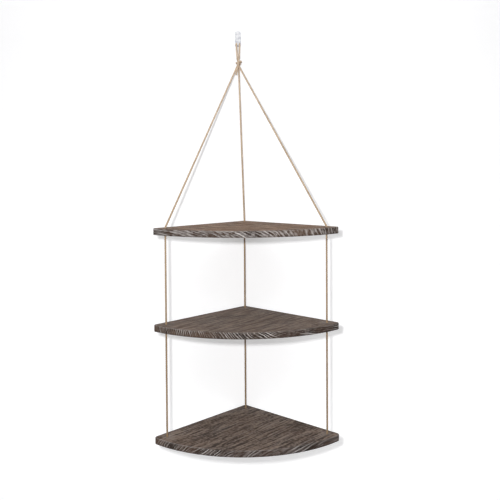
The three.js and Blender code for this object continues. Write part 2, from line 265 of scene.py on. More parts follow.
class SharedEffects:
    """Node groups that several finishes use, each built once."""

    origin: tuple[float, float, float] = (0.0, 0.0, 0.0)
    softest_patch: float = 0.3
    grit_fineness: float = 14.0
    fibre_contrast: tuple[float, float] = (0.2, 0.01)
    loose_fibres: tuple[float, float] = (0.56, 0.66)
    trunk_sway: float = 22 * MM
    turn_share: float = 0.3
    least_gap: float = 0.5 * MM
    ring_unevenness: float = 1.1
    line_threshold: float = 1.75
    line_gaps: float = 0.9
    line_edge: float = 0.3
    line_fading: tuple[float, float] = (1.0, 0.1)
    soft_wood: tuple[float, float] = (0.2, -0.8)
    fibre_relief: float = 0.5
    line_relief: float = 0.7

    def __init__(self) -> None:
        """Builds the groups."""
        self.mottle = self._build_mottle()
        self.drawn_fibres = self._build_drawn_fibres()
        self.brushed_grain = self._build_brushed_grain()

    @staticmethod
    def _start(name: str, inputs: dict, outputs: Sequence[str]) -> tuple[NodeSheet, Outputs]:
        """Makes an empty group.

        Args:
            name: The group's name.
            inputs: The default of each input by its name, three numbers for a vector.
            outputs: Name of each output, all of them plain values.

        Returns:
            The group's sheet and what its inputs give.
        """
        tree = bpy.data.node_groups.new(name, "ShaderNodeTree")
        for title, default in inputs.items():
            kind = "NodeSocketVector" if isinstance(default, tuple) else "NodeSocketFloat"
            tree.interface.new_socket(title, in_out="INPUT", socket_type=kind).default_value = default
        for title in outputs:
            tree.interface.new_socket(title, in_out="OUTPUT", socket_type="NodeSocketFloat")
        sheet = NodeSheet(tree)
        return sheet, sheet.add("NodeGroupInput").outputs

    def _build_mottle(self) -> bpy.types.NodeTree:
        """Soft patches: handling marks, stains and uneven dye.

        Returns:
            The group's node tree.
        """
        inputs = {"Place": self.origin, "Patch Scale": 20.0, "Sharpness": 0.5}
        sheet, given = self._start("Mottle", inputs, ("Patches", "Grit"))
        patches = sheet.clouds(given["Place"], given["Patch Scale"], detail=3.0)
        grit = sheet.clouds(given["Place"], sheet.product(given["Patch Scale"], self.grit_fineness))
        half = sheet.product(sheet.math("SUBTRACT", 1.0, given["Sharpness"]), self.softest_patch)
        sheet.add("NodeGroupOutput", {"Patches": sheet.steepened(patches, half), "Grit": grit})
        return sheet.tree

    def _build_drawn_fibres(self) -> bpy.types.NodeTree:
        """Fibres drawn out along one direction, as in spun rope or the fine figure of wood.

        Returns:
            The group's node tree.
        """
        inputs = {"Place": self.origin, "Stretch": (1.0, 10.0, 10.0), "Fineness": 5.0, "Contrast": 0.0}
        sheet, given = self._start("Drawn Fibres", inputs, ("Fibres", "Loose Fibres"))
        stretched = sheet.scaled(given["Place"], given["Stretch"])
        fibres = sheet.clouds(stretched, detail=given["Fineness"], roughness=0.62)
        loose = sheet.clouds(stretched, scale=0.43, distortion=0.4)
        half = sheet.span(given["Contrast"], *self.fibre_contrast)
        sheet.add("NodeGroupOutput", {
            "Fibres": sheet.steepened(fibres, half),
            "Loose Fibres": sheet.step(loose, *self.loose_fibres)})
        return sheet.tree

    def _build_brushed_grain(self) -> bpy.types.NodeTree:
        """Growth rings round a pith, brushed so that the hard lines stay pale and proud.

        Returns:
            The group's node tree.
        """
        inputs = {"Place": self.origin, "Grain Turn": 0.0, "Pith": (0.0, -0.4, -0.3), "Ring Gap": 4 * MM,
                  "Gap Growth": 0.001}
        sheet, given = self._start("Brushed Grain", inputs, (
            "Fibres", "Strokes", "Pale Lines", "Soft Wood", "Streaks", "Figure", "Relief"))
        # Places in the trunk: along it, out from its swaying pith and round it
        along = sheet.turned(given["Place"], given["Grain Turn"])
        trunk = sheet.coordinates(sheet.vector("SUBTRACT", along, given["Pith"])["Vector"])
        reach = sheet.vector("LENGTH", sheet.joined(0.0, trunk["Y"], trunk["Z"]))["Value"]
        sway = sheet.clouds(sheet.scaled(along, (6.0, 15.0, 25.0)), roughness=0.45)
        bent = sheet.math("ADD", reach, sheet.product(sheet.math("SUBTRACT", sway, 0.5), self.trunk_sway))
        turn = sheet.product(sheet.math("ARCTAN2", trunk["Z"], trunk["Y"]), self.turn_share)
        place = sheet.joined(trunk["X"], bent, turn)

        # Fibres, longer strokes and the patches between them
        drawn = sheet.group(self.drawn_fibres, {
            "Place": place, "Stretch": (14.0, 300.0, 190.0), "Fineness": 7.0, "Contrast": 0.4})
        strokes = sheet.group(self.drawn_fibres, {
            "Place": place, "Stretch": (15.0, 200.0, 130.0), "Fineness": 4.0, "Contrast": 0.7})["Fibres"]
        figure = sheet.group(self.mottle, {
            "Place": sheet.scaled(place, (0.5, 1.0, 0.6)), "Patch Scale": 26.0, "Sharpness": 0.6})["Patches"]

        # Growth rings, whose gaps grow or shrink outwards
        unevenness = sheet.product(
            sheet.clouds(sheet.scaled(place, (7.0, 150.0, 9.0)), detail=1.0), self.ring_unevenness)
        gap = sheet.math("ADD", given["Ring Gap"], sheet.product(bent, given["Gap Growth"]))
        logarithm = sheet.math("LOGARITHM", sheet.math("MAXIMUM", gap, self.least_gap), math.e)
        count = sheet.math("ADD", sheet.math("DIVIDE", logarithm, given["Gap Growth"]), unevenness)
        ring = sheet.math("SINE", sheet.product(count, 2 * math.pi))

        # Hard lines, broken along their way and faded in the patches
        gaps = sheet.product(sheet.clouds(sheet.scaled(place, (16.0, 60.0, 40.0))), self.line_gaps)
        threshold = sheet.math("SUBTRACT", self.line_threshold, sheet.math("ADD", gaps, unevenness))
        line = sheet.step(ring, threshold, sheet.math("ADD", threshold, self.line_edge))
        pale = sheet.product(line, sheet.span(figure, *self.line_fading))
        relief = sheet.math("ADD", sheet.product(drawn["Fibres"], self.fibre_relief),
                            sheet.product(pale, self.line_relief))
        sheet.add("NodeGroupOutput", {
            "Fibres": drawn["Fibres"], "Strokes": strokes, "Pale Lines": pale,
            "Soft Wood": sheet.step(ring, *self.soft_wood), "Streaks": drawn["Loose Fibres"],
            "Figure": figure, "Relief": relief})
        return sheet.tree


@dataclass(frozen=True)
class Finish:
    """What all finishes share: a named material with one Principled shader over a fine relief."""

    name: str

    def start(self) -> tuple[bpy.types.Material, NodeSheet]:
        """Makes the material with an empty sheet.

        Returns:
            The material and the sheet of its nodes.
        """
        material = bpy.data.materials.new(self.name)
        material.use_nodes = True
        return material, NodeSheet(material.node_tree)

    @staticmethod
    def close(sheet: NodeSheet, height: Socket, depth: float, strength: float, values: dict) -> None:
        """Adds the shader over its relief and wires it to the output.

        Args:
            sheet: The material's sheet.
            height: The relief's height, from 0 to 1.
            depth: What a height of 1 stands for, in metres.
            strength: How strongly the relief shows.
            values: The shader's values or source sockets, by input name.
        """
        bump = sheet.add("ShaderNodeBump", {"Height": height, "Distance": depth, "Strength": strength})
        shader = sheet.add("ShaderNodeBsdfPrincipled", {**values, "Normal": bump.outputs[0]})
        sheet.add("ShaderNodeOutputMaterial", {"Surface": shader.outputs[0]})


@dataclass(frozen=True)
class ScorchedWood(Finish):
    """Softwood that was scorched and wire-brushed: dark grain with pale broken lines."""

    # Where the board was cut from its trunk
    grain_turn: float
    pith: tuple[float, float, float]
    ring_gap: float
    # What differs from board to board
    # tone is partly each board's own shade of wood and partly painted light, set higher on the higher boards
    tone: float
    scorch: float
    gap_growth: float = 0.001
    warmth: float = 1.05
    pallor: float = 0.38
    line_share: float = 0.95
    stroke_share: float = 0.5
    speckle: float = 0.25
    softness: float = 0.75
    face_lines: float = 0.15
    end_lines: float = 0.55
    end_brown: float = 0.55
    side_lines: float = 0.95
    # What all boards share
    face_stains: float = 0.35
    face_shade: float = 0.2
    face_streaks: float = 0.22
    end_facing: tuple[float, float] = (0.76, 0.98)
    side_facing: tuple[float, float] = (0.6, 0.3)
    edge_figure: float = 0.8
    edge_shade: float = 0.55
    # How dark the burns and the painted shade along the lower edge are made
    burn_and_shade_strength: float = 0.6
    wear_strength: float = 0.35
    grit: tuple[float, float] = (0.38, 0.62)
    stroke_fading: tuple[float, float] = (0.5, 1.0)
    least_brown: float = 0.1
    roughness: tuple[float, float] = (0.8, 0.58)
    dark: Colour = screen_colour(50, 42, 38)
    middle: Colour = screen_colour(134, 119, 108)
    brown: Colour = screen_colour(102, 80, 64)
    pale: Colour = screen_colour(214, 208, 204)
    grey: Colour = screen_colour(158, 152, 149)
    soot: Colour = screen_colour(32, 27, 25)
    char: Colour = screen_colour(76, 60, 51)

    def _face(self, sheet: NodeSheet, grain: Outputs, stains: Outputs) -> Socket:
        """Colours the flat faces.

        Args:
            sheet: The material's sheet.
            grain: What the brushed grain gives.
            stains: What the mottle gives.

        Returns:
            The faces' colour.
        """
        drawn = sheet.add("ShaderNodeMix", {
            0: self.stroke_share, 2: grain["Fibres"], 3: grain["Strokes"]}).outputs[0]
        grit = sheet.math("SUBTRACT", sheet.step(stains["Grit"], *self.grit), 0.5)
        drawn = sheet.math("ADD", drawn, sheet.product(grit, self.speckle))
        drawn = sheet.step(drawn, 0.5 - self.softness, 0.5 + self.softness)
        face = sheet.layered(
            sheet.mix(drawn, self.dark, self.middle),
            (stains["Patches"], self.face_stains, self.brown),
            (grain["Soft Wood"], self.face_shade, self.dark),
            (grain["Streaks"], self.face_streaks, self.dark),
            (grain["Pale Lines"], self.face_lines, self.grey))
        return sheet.dyed(face, self.warmth, self.tone)

    def _edge(self, sheet: NodeSheet, grain: Outputs, normal: Socket) -> Socket:
        """Colours the edge, which shows end grain or side grain by the way it faces.

        Args:
            sheet: The material's sheet.
            grain: What the brushed grain gives.
            normal: The way the surface faces.

        Returns:
            The edge's colour.
        """
        scorched = blended(self.scorch, self.char, self.soot)
        facing = sheet.coordinates(sheet.turned(normal, self.grain_turn))["X"]
        along = sheet.math("ABSOLUTE", facing)
        end_grain, side_grain = sheet.step(along, *self.end_facing), sheet.step(along, *self.side_facing)
        strokes = sheet.product(grain["Strokes"], sheet.span(grain["Fibres"], *self.stroke_fading))
        tan = sheet.product(end_grain, sheet.span(grain["Figure"], self.least_brown, self.end_brown))
        lines = sheet.product(
            grain["Pale Lines"], sheet.span(end_grain, 1.0, self.end_lines),
            sheet.span(side_grain, self.line_share, self.side_lines))
        edge = sheet.mix(sheet.product(grain["Figure"], self.edge_figure), scorched, self.char)
        edge = sheet.mix(strokes, edge, blended(self.pallor, self.char, self.grey))
        edge = sheet.layered(edge, (grain["Soft Wood"], self.edge_shade, scorched))
        return sheet.mix(lines, sheet.mix(tan, edge, self.brown), self.pale)

    def make(self, effects: SharedEffects) -> bpy.types.Material:
        """Builds the material, which reads where the board's rim, wear, burns and painted underside shade
        are from its mesh.

        Args:
            effects: The shared node groups.

        Returns:
            The finished material.
        """
        material, sheet = self.start()
        spots = sheet.add("ShaderNodeTexCoord").outputs
        grain = sheet.group(effects.brushed_grain, {
            "Place": spots["Object"], "Grain Turn": self.grain_turn, "Pith": self.pith,
            "Ring Gap": self.ring_gap, "Gap Growth": self.gap_growth})
        stains = sheet.group(effects.mottle, {
            "Place": spots["Object"], "Patch Scale": 11.0, "Sharpness": 0.1})
        rim, wear, burn_and_shade = (
            sheet.add("ShaderNodeAttribute", attribute_name=mask).outputs["Fac"]
            for mask in ("rim", "wear", "burn_and_shade"))
        face, edge = self._face(sheet, grain, stains), self._edge(sheet, grain, spots["Normal"])
        colour = sheet.layered(
            sheet.mix(rim, face, edge),
            # The burn mask also holds painted shade along each board's lower edge
            (burn_and_shade, self.burn_and_shade_strength, self.soot),
            (sheet.product(wear, stains["Patches"]), self.wear_strength, self.grey))
        self.close(sheet, grain["Relief"], depth=0.5 * MM, strength=0.6, values={
            "Base Color": colour, "Roughness": sheet.span(grain["Fibres"], *self.roughness),
            "Specular IOR Level": 0.12})
        return material


@dataclass(frozen=True)
class SpunJute(Finish):
    """Tan jute, spun and laid in three strands, with painted light that makes it paler and greyer higher up.
    """

    name: str = "Spun Jute"
    light: Colour = screen_colour(184, 160, 128)
    deep: Colour = screen_colour(126, 100, 72)
    husk: Colour = screen_colour(92, 68, 46)
    # Heights between which painted light takes the rope from darker low down to paler higher up
    low: float = -800 * MM
    high: float = -150 * MM
    stain_share: float = 0.35
    husk_share: float = 0.4
    # Painted shade low down, painted light higher up, and the saturation of the painted light
    painted_shade_low_down: float = 0.98
    painted_light_high_up: float = 1.75
    painted_light_saturation: float = 0.72

    def make(self, effects: SharedEffects) -> bpy.types.Material:
        """Builds the material.

        Args:
            effects: The shared node groups.

        Returns:
            The finished material.
        """
        material, sheet = self.start()
        strand, place = sheet.add("ShaderNodeUVMap", uv_map="strand").outputs[0], sheet.place()
        fibres = sheet.group(effects.drawn_fibres, {
            "Place": strand, "Stretch": (160.0, 14.0, 1.0), "Fineness": 5.0})
        patches = sheet.group(effects.mottle, {"Place": place, "Patch Scale": 26.0, "Sharpness": 0.2})
        colour = sheet.layered(
            sheet.mix(fibres["Fibres"], self.deep, self.light),
            (patches["Patches"], self.stain_share, self.deep),
            (fibres["Loose Fibres"], self.husk_share, self.husk))
        # Painted light: brightness and saturation change with height, darker low down under the boards and
        # paler, greyer higher up where more light falls
        height = sheet.coordinates(place)["Z"]
        warmth = sheet.span(height, 1.0, self.painted_light_saturation, self.low, self.high)
        tone = sheet.span(height, self.painted_shade_low_down, self.painted_light_high_up, self.low, self.high)
        self.close(sheet, fibres["Fibres"], depth=0.15 * MM, strength=0.7, values={
            "Base Color": sheet.dyed(colour, warmth, tone), "Roughness": 0.88,
            "Specular IOR Level": 0.25, "Sheen Weight": 0.15})
        return material


@dataclass(frozen=True)
class ClearPlastic(Finish):
    """Moulded clear plastic, a little cloudy."""

    name: str = "Clear Plastic"
    colour: Colour = screen_colour(250, 251, 255)
    cloud: Colour = screen_colour(208, 209, 219)
    roughness: tuple[float, float] = (0.12, 0.34)

    def make(self, effects: SharedEffects) -> bpy.types.Material:
        """Builds the material.

        Args:
            effects: The shared node groups.

        Returns:
            The finished material.
        """
        material, sheet = self.start()
        cloud = sheet.group(effects.mottle, {
            "Place": sheet.place(), "Patch Scale": 170.0, "Sharpness": 0.5})
        self.close(sheet, cloud["Grit"], depth=0.05 * MM, strength=0.25, values={
            "Base Color": sheet.mix(cloud["Patches"], self.colour, self.cloud),
            "Roughness": sheet.span(cloud["Grit"], *self.roughness),
            "Transmission Weight": 0.16, "IOR": 1.46, "Specular IOR Level": 0.5,
            "Subsurface Weight": 0.8, "Subsurface Radius": (1.0, 1.0, 1.0), "Subsurface Scale": 5 * MM})
        return material


@dataclass(frozen=True)
class PadFoam(Finish):
    """White foam tape with fine pores."""

    name: str = "Pad Foam"
    colour: Colour = screen_colour(236, 236, 232)
    pore: Colour = screen_colour(196, 196, 192)

    def make(self, effects: SharedEffects) -> bpy.types.Material:
        """Builds the material.

        Args:
            effects: The shared node groups.

        Returns:
            The finished material.
        """
        material, sheet = self.start()
        pores = sheet.group(effects.mottle, {
            "Place": sheet.place(), "Patch Scale": 420.0, "Sharpness": 0.7})["Patches"]
        self.close(sheet, pores, depth=0.2 * MM, strength=0.6, values={
            "Base Color": sheet.mix(pores, self.colour, self.pore), "Roughness": 0.9,
            "Specular IOR Level": 0.2})
        return material


@dataclass
class MeshMaker:
    """A mesh under construction, with the ways of joining rings that all pieces use."""

    mesh: bmesh.types.BMesh = field(default_factory=bmesh.new)

    def ring(self, points: Sequence[Vector]) -> Ring:
        """Adds one ring of points."""
        return [self.mesh.verts.new(point) for point in points]

    def sleeve(self, rings: Sequence[Ring]) -> list[bmesh.types.BMFace]:
        """Joins each ring to the next one by a band of faces.

        Args:
            rings: Rings of as many points each.

        Returns:
            The new faces, band by band.
        """
        faces = []
        for first, second in zip(rings, rings[1:]):
            for i, far in enumerate(second):
                ahead = (i + 1) % len(first)
                faces.append(self.mesh.faces.new((first[i], first[ahead], second[ahead], far)))
        return faces

    def caps(self, rings: Sequence[Ring]) -> list[bmesh.types.BMFace]:
        """Closes the first and the last ring with one face each."""
        return [self.mesh.faces.new(ring) for ring in (rings[0], rings[-1])]

    def lid(self, rings: Sequence[Ring]) -> None:
        """Fills a flat face inside the first ring and outside the others.

        Args:
            rings: The face's rim, and the rims of its holes.
        """
        pairs = [pair for ring in rings for pair in zip(ring, ring[1:] + ring[:1])]
        edges = [self.mesh.edges.get(pair) for pair in pairs]
        bmesh.ops.triangle_fill(self.mesh, use_beauty=True, edges=edges)

    def finish(self, name: str, material: bpy.types.Material, crease: float = math.radians(38)) -> Piece:
        """Turns the mesh into a named object.

        Args:
            name: The piece's name.
            material: Its material.
            crease: Edges that turn by more than this angle stay sharp.

        Returns:
            The new object, linked to the scene.
        """
        bmesh.ops.recalc_face_normals(self.mesh, faces=self.mesh.faces[:])
        for face in self.mesh.faces:
            face.smooth = True
        for edge in self.mesh.edges:
            edge.smooth = len(edge.link_faces) != 2 or edge.calc_face_angle(0.0) < crease
        data = bpy.data.meshes.new(name)
        self.mesh.to_mesh(data)
        self.mesh.free()
        data.materials.append(material)
        piece = bpy.data.objects.new(name, data)
        bpy.context.collection.objects.link(piece)
        return piece


def spoke(across: Vector, up: Vector, angle: float) -> Vector:
    """The direction that lies at an angle from one direction towards another at right angles to it."""
    return across * math.cos(angle) + up * math.sin(angle)


def circle(centre: Vector, across: Vector, up: Vector, radius: float, sides: int) -> list[Vector]:
    """Points round a centre, from one direction towards another at right angles to it."""
    return [centre + spoke(across, up, 2 * math.pi * k / sides) * radius for k in range(sides)]


def arc(centre: Vector, radius: float, start: float, end: float, steps: int) -> Outline:
    """Points along an arc, each with its outward direction.

    Args:
        centre: The arc's centre, in its own plane.
        radius: Its radius.
        start: Angle of the first point.
        end: Angle of the last point.
        steps: How many pieces the arc is cut into.

    Returns:
        Pairs of a point and the direction away from the centre.
    """
    angles = [start + (end - start) * i / steps for i in range(steps + 1)]
    outward = [Vector((math.cos(a), math.sin(a))) for a in angles]
    return [(centre + radius * out, out) for out in outward]


def eased_edges(ease: float, start: float, end: float, steps: int = 4) -> tuple[list[tuple], list[tuple]]:
    """Steps round the two eased edges of a slab.

    Args:
        ease: The edges' radius.
        start: Level of the slab's first face.
        end: Level of its last face.
        steps: How many pieces each edge is cut into.

    Returns:
        For either edge, each step's inset, its level and how far it faces sideways.
    """
    way = math.copysign(ease, end - start)
    angles = [math.pi / 2 * k / steps for k in range(steps + 1)]
    first = [(ease * (1 - math.sin(a)), start + way * (1 - math.cos(a)), math.sin(a)) for a in angles]
    last = [(ease * (1 - math.cos(a)), end - way * (1 - math.sin(a)), math.cos(a)) for a in angles]
    return first, last


def smooth_through(points: Sequence[Vector], pieces: int) -> list[Vector]:
    """A smooth curve through points that aren't evenly spaced.

    Args:
        points: The points that the curve passes.
        pieces: How many pieces each stretch is cut into.

    Returns:
        Points along the curve.
    """
    padded = [2 * points[0] - points[1], *points, 2 * points[-1] - points[-2]]
    curve = []
    for a, b, c, d in zip(padded, padded[1:], padded[2:], padded[3:]):
        t1 = (b - a).length ** 0.5
        t2 = t1 + (c - b).length ** 0.5
        t3 = t2 + (d - c).length ** 0.5
        for k in range(pieces):
            t = t1 + (t2 - t1) * k / pieces
            middle = b.lerp(c, (t - t1) / (t2 - t1))
            before = a.lerp(b, t / t1).lerp(middle, t / t2)
            after = middle.lerp(c.lerp(d, (t - t2) / (t3 - t2)), (t - t1) / (t3 - t1))
            curve.append(before.lerp(after, (t - t1) / (t2 - t1)))
    curve.append(points[-1])
    return curve


@dataclass
class QuarterBoard:
    """One quarter-round board with eased edges, three rope holes and the knots' pockets under them."""

    tier: Tier
    wood: ScorchedWood
    radius: float = 300 * MM
    thickness: float = 15 * MM
    corner_radius: float = 8 * MM
    ease: float = 1.2 * MM
    middle: float = 13 * MM
    wall_gap: float = 1 * MM
    hole_inset: float = 20 * MM
    hole_tip_inset: float = 22.5 * MM
    hole_radius: float = 2.6 * MM
    mouth: float = 0.8 * MM
    mouth_bend: tuple[float, float] = (0.3, 0.35)
    pocket_radius: float = 7.9 * MM
    pocket_depth: float = 11 * MM
    pocket_ease: float = 0.3 * MM
    pocket_chamfer: float = 0.5 * MM
    pocket_flare: float = 0.4 * MM
    under_rim: float = 4.8 * MM
    scorched_rim: float = 3.6 * MM
    clean_rim: float = 7.2 * MM
    brushed_depth: float = 0.35 * MM
    brushed_per_metre: float = 160.0
    brushed_fractal: tuple[float, float, int] = (0.8, 2.0, 3)
    least_brushing: float = 0.4
    scorch_start: float = -0.55
    scorch_full: float = 0.25
    rim_scorch: float = 0.7
    # Painted shade: how dark the lowest part of the edge is made, and how high that shade reaches
    painted_underside_shade: float = 0.6
    painted_underside_shade_height: float = 4 * MM
    outline_pitch: float = 4 * MM
    back_steps: int = 10
    tip_steps: int = 14
    front_steps: int = 180
    side_steps: int = 6
    hole_sides: int = 32

    @property
    def top(self) -> float:
        """Height of the board's upper face."""
        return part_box(self.tier.node)[1][2]

    @property
    def corner(self) -> Vector:
        """Where the two straight edges would meet, seen from above."""
        return Vector((self.middle, self.corner_radius * (math.sqrt(2) - 1) - self.wall_gap))

    def hole(self, side: Side) -> Vector:
        """Middle of one rope hole, seen from above.

        Args:
            side: The hole's rope.

        Returns:
            The place.
        """
        along = self.radius - self.hole_tip_inset
        if side is Side.BACK:
            return self.corner + Vector((0, -self.hole_inset * math.sqrt(2)))
        sign = -1 if side is Side.LEFT else 1
        reach = Vector((sign * (along - self.hole_inset), -(along + self.hole_inset)))
        return self.corner + reach / math.sqrt(2)

    def outline(self) -> Outline:
        """The board's edge, seen from above, with points along its straight stretches for the wear.

        Returns:
            Places from the corner, each with its outward direction.
        """
        quarter, r = math.pi / 4, self.corner_radius
        away = self.radius - r
        left = -3 * quarter + math.asin(r / away)
        right = -quarter - math.asin(r / away)
        tips = [Vector((away * math.cos(a), away * math.sin(a))) for a in (left, right)]
        path = arc(Vector((0, -r * math.sqrt(2))), r, quarter, 3 * quarter, self.back_steps)
        path += arc(tips[0], r, -5 * quarter, left, self.tip_steps)
        path += arc(Vector((0, 0)), self.radius, left, right, self.front_steps)[1:-1]
        path += arc(tips[1], r, right, quarter, self.tip_steps)
        full = []
        for (here, out), (there, _) in zip(path, path[1:] + path[:1]):
            pieces = max(1, math.ceil((there - here).length / self.outline_pitch))
            full += [(here.lerp(there, k / pieces), out) for k in range(pieces)]
        return full

    def _edge_ring(self, maker: MeshMaker, outline: Outline, inset: float, height: float,
                   wear: float) -> Ring:
        """One ring round the board's edge.

        Args:
            maker: The mesh under construction.
            outline: The board's outline.
            inset: How far inside the outline the ring runs.
            height: The ring's height.
            wear: How far brushing has eaten into the edge at most.

        Returns:
            The ring's points.
        """
        points = []
        for place, out in outline:
            spot = self.corner + place
            where = Vector((*spot, height)) * self.brushed_per_metre
            rough = noise.fractal(where, *self.brushed_fractal) * wear
            points.append(Vector((*(spot - out * (inset + max(0.0, rough))), height)))
        return maker.ring(points)

    def _edge(self, maker: MeshMaker, masks: dict[str, list[float]]) -> list[Ring]:
        """Adds the board's edge, with the rims of both faces.

        Args:
            maker: The mesh under construction.
            masks: The rim, wear, and burn with painted shade of every point so far, which the new points add
                to.

        Returns:
            The edge's rings, from the lower to the upper face.
        """
        outline, top, low = self.outline(), self.top, self.top - self.thickness
        lower, upper = eased_edges(self.ease, low, top)
        levels = [low + self.thickness * k / self.side_steps for k in range(1, self.side_steps)]
        profile = [
            (self.under_rim, low, 0.0, 0.0), *((*place, 0.0) for place in lower),
            *((0.0, level, 1.0, 0.0) for level in levels), *((*place, 1.0) for place in upper),
            (self.scorched_rim, top, 0.0, self.rim_scorch), (self.clean_rim, top, 0.0, 0.0)]
        wallward = [way_between(out.y, self.scorch_start, self.scorch_full) for _, out in outline]
        rings = []
        for inset, height, rim, arris in profile:
            brushed = inset <= self.ease and height > low
            depth = self.brushed_depth * (self.least_brushing + (1 - self.least_brushing) * rim)
            rings.append(self._edge_ring(maker, outline, inset, height, depth if brushed else 0.0))
            # Painted shade: the edge darkens towards the underside, added to the burn mask
            under = self.painted_underside_shade * way_between(height, low + self.painted_underside_shade_height, low) if brushed else 0.0
            masks["rim"] += [rim] * len(outline)
            masks["wear"] += [arris * (1 - share) if inset <= self.ease else 0.0 for share in wallward]
            masks["burn_and_shade"] += [max(max(arris, rim) * share, under) for share in wallward]
        maker.sleeve(rings)
        return rings

    def _hole(self, maker: MeshMaker, side: Side, masks: dict[str, list[float]]) -> list[Ring]:
        """Adds one rope hole: its mouth, its bore and the pocket below it.

        Args:
            maker: The mesh under construction.
            side: The hole's rope.
            masks: The rim, wear, and burn with painted shade of every point so far, which the new points add
                to.

        Returns:
            The hole's rings, from the upper to the lower face.
        """
        top, low, worn = self.top, self.top - self.thickness, 2
        floor, spot = low + self.pocket_depth, self.hole(side)
        r, mouth, pocket, ease = self.hole_radius, self.mouth, self.pocket_radius, self.pocket_ease
        out, down = self.mouth_bend
        profile = [
            (r + mouth, top), (r + out * mouth, top - down * mouth), (r, top - mouth), (r, floor),
            (pocket - ease, floor), (pocket, floor - ease),
            (pocket, low + self.pocket_chamfer), (pocket + self.pocket_flare, low)]
        across, up, rings = Vector((1, 0, 0)), Vector((0, 1, 0)), []
        for radius, height in profile:
            rings.append(maker.ring(circle(Vector((*spot, height)), across, up, radius, self.hole_sides)))
        maker.sleeve(rings)
        masks["rim"] += [0.0] * self.hole_sides * len(rings)
        masks["wear"] += [1.0] * self.hole_sides * worn + [0.0] * self.hole_sides * (len(rings) - worn)
        masks["burn_and_shade"] += [0.0] * self.hole_sides * len(rings)
        return rings

    def build(self, effects: SharedEffects) -> list[Piece]:
        """Builds the board in place of its plain node.

        Args:
            effects: The shared node groups.

        Returns:
            The board's object.
        """
        maker = MeshMaker()
        masks = {"rim": [], "wear": [], "burn_and_shade": []}
        edge = self._edge(maker, masks)
        holes = [self._hole(maker, side, masks) for side in Side]
        maker.lid([edge[-1], *(hole[0] for hole in holes)])
        maker.lid([edge[0], *(hole[-1] for hole in holes)])
        board = maker.finish(f"{self.tier.value}_board", self.wood.make(effects))
        for name, values in masks.items():
            board.data.attributes.new(name, "FLOAT", "POINT").data.foreach_set("value", values)
        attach(board, self.tier.body)
        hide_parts(self.tier.node)
        return [board]


